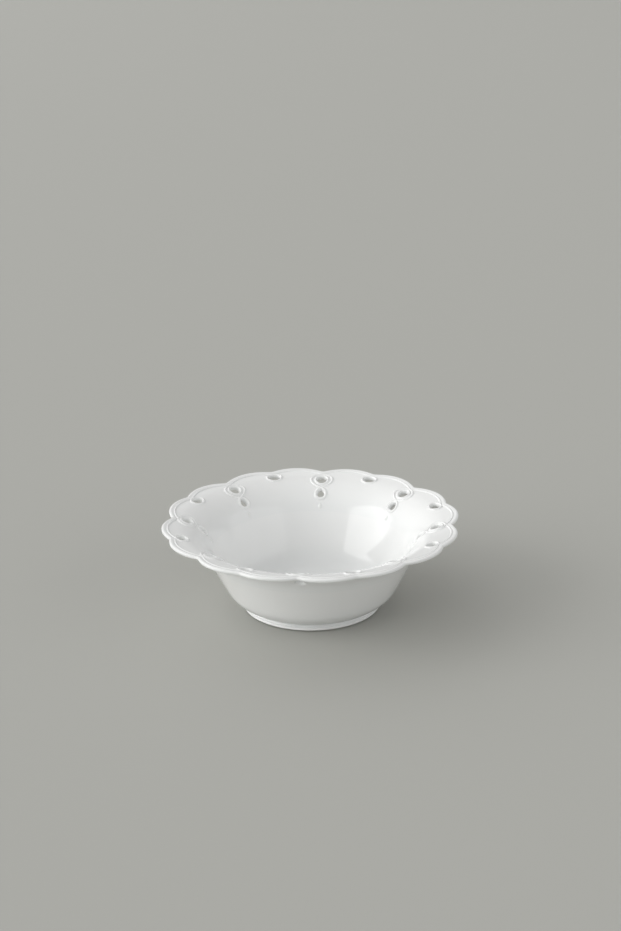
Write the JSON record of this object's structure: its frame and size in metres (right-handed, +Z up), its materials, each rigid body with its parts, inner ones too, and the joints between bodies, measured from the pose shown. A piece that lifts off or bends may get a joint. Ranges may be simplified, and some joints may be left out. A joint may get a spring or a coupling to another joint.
{
  "type": "bowl",
  "caption": "Open bowl with a flared, scalloped and pierced rim, a rolled edge with ribbon relief round the openings, and a low flared foot ring.",
  "frame": {"origin": "on the bowl's axis, in the plane that the foot ring stands on", "axes": "+Z up along the bowl's axis; +X and +Y each pass under a looped ornament of the rim"},
  "size_m": [0.1676, 0.1676, 0.0523],
  "materials": {
    "body_glaze": "gloss",
    "rim_glaze": "gloss",
    "relief_glaze": "gloss",
    "foot_glaze": "gloss"
  },
  "bodies": {
    "root": {"bowl_body": "body_glaze", "foot_ring": "foot_glaze", "pierced_rim": "rim_glaze", "edge_roll": "rim_glaze", "ribbon_knot_1": "relief_glaze", "ribbon_knot_2": "relief_glaze", "ribbon_knot_3": "relief_glaze", "ribbon_knot_4": "relief_glaze", "ribbon_knot_5": "relief_glaze", "ribbon_knot_6": "relief_glaze", "ribbon_knot_7": "relief_glaze", "ribbon_knot_8": "relief_glaze", "loop_collar_1": "relief_glaze", "loop_collar_2": "relief_glaze", "loop_collar_3": "relief_glaze", "loop_collar_4": "relief_glaze", "loop_collar_5": "relief_glaze", "loop_collar_6": "relief_glaze", "loop_collar_7": "relief_glaze", "loop_collar_8": "relief_glaze", "drop_bead_1": "relief_glaze", "drop_bead_2": "relief_glaze", "drop_bead_3": "relief_glaze", "drop_bead_4": "relief_glaze", "drop_bead_5": "relief_glaze", "drop_bead_6": "relief_glaze", "drop_bead_7": "relief_glaze", "drop_bead_8": "relief_glaze", "eyelet_collar_1": "relief_glaze", "eyelet_collar_2": "relief_glaze", "eyelet_collar_3": "relief_glaze", "eyelet_collar_4": "relief_glaze", "eyelet_collar_5": "relief_glaze", "eyelet_collar_6": "relief_glaze", "eyelet_collar_7": "relief_glaze", "eyelet_collar_8": "relief_glaze", "lobe_ribbon_1": "relief_glaze", "lobe_ribbon_2": "relief_glaze", "lobe_ribbon_3": "relief_glaze", "lobe_ribbon_4": "relief_glaze", "lobe_ribbon_5": "relief_glaze", "lobe_ribbon_6": "relief_glaze", "lobe_ribbon_7": "relief_glaze", "lobe_ribbon_8": "relief_glaze", "lobe_ribbon_9": "relief_glaze", "lobe_ribbon_10": "relief_glaze", "lobe_ribbon_11": "relief_glaze", "lobe_ribbon_12": "relief_glaze", "lobe_ribbon_13": "relief_glaze", "lobe_ribbon_14": "relief_glaze", "lobe_ribbon_15": "relief_glaze", "lobe_ribbon_16": "relief_glaze"}
  },
  "joints": []
}
